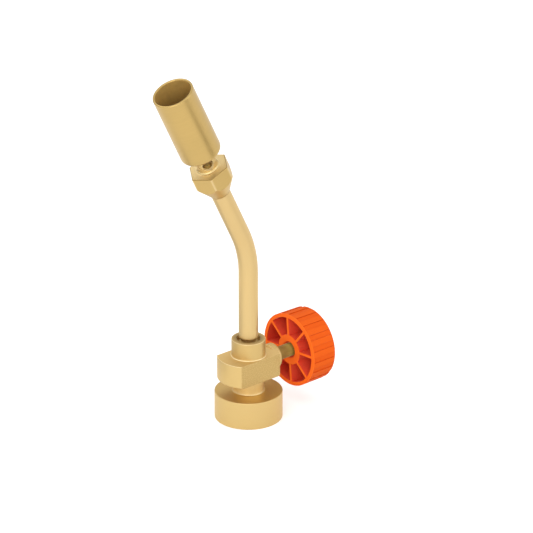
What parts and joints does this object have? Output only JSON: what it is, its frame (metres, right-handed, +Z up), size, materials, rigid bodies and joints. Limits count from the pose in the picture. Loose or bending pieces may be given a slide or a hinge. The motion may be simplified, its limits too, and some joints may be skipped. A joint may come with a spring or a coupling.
{
  "type": "brass gas torch",
  "caption": "Brass hand torch head: a threaded cup for a gas cylinder, a needle valve with a spoked orange knob, a bent outlet tube, a hexagonal air mixer and a tubular burner.",
  "frame": {"origin": "centre of the coupling's lower rim, on the axis of the cylinder thread", "axes": "+Z up along the cylinder thread, +X along the valve stem towards the knob, the burner leans towards -X"},
  "size_m": [0.0976, 0.0378, 0.189],
  "materials": {
    "brass": "satin",
    "stem_brass": "satin",
    "filler": "matte",
    "sintered_bronze": "matte",
    "steel": "satin",
    "rubber": "matte",
    "packing": "matte",
    "orange_plastic": "satin"
  },
  "bodies": {
    "head": {"cylinder_coupling": "brass", "inlet_nipple": "brass", "nipple_oring": "rubber", "depressor_pin": "steel", "inlet_filter": "sintered_bronze", "valve_body": "brass", "gland_nut": "brass", "stem_packing": "packing", "packing_washer": "steel", "outlet_tube": "brass", "braze_ring": "filler", "mixer_hex": "brass", "mixer_braze": "filler", "gas_jet": "stem_brass", "jet_filter": "sintered_bronze", "burner_cup": "brass", "flame_holder": "stem_brass"},
    "needle": {"needle_ball": "steel"},
    "stem": {"valve_stem": "stem_brass", "stem_circlip": "steel", "knob": "orange_plastic"}
  },
  "joints": [
    {"name": "needle_lift", "type": "slide", "parent": "head", "child": "needle", "axis": [1, 0, 0], "range_m": [0, 0.0015]},
    {"name": "knob_turn", "type": "hinge", "parent": "needle", "child": "stem", "pos_m": [0, 0, 0.02805], "axis": [1, 0, 0], "range_deg": [0, 540]}
  ],
  "couplings": [
    {"joint": "knob_turn", "follows": "needle_lift", "rad_per_m": 6283.2}
  ]
}
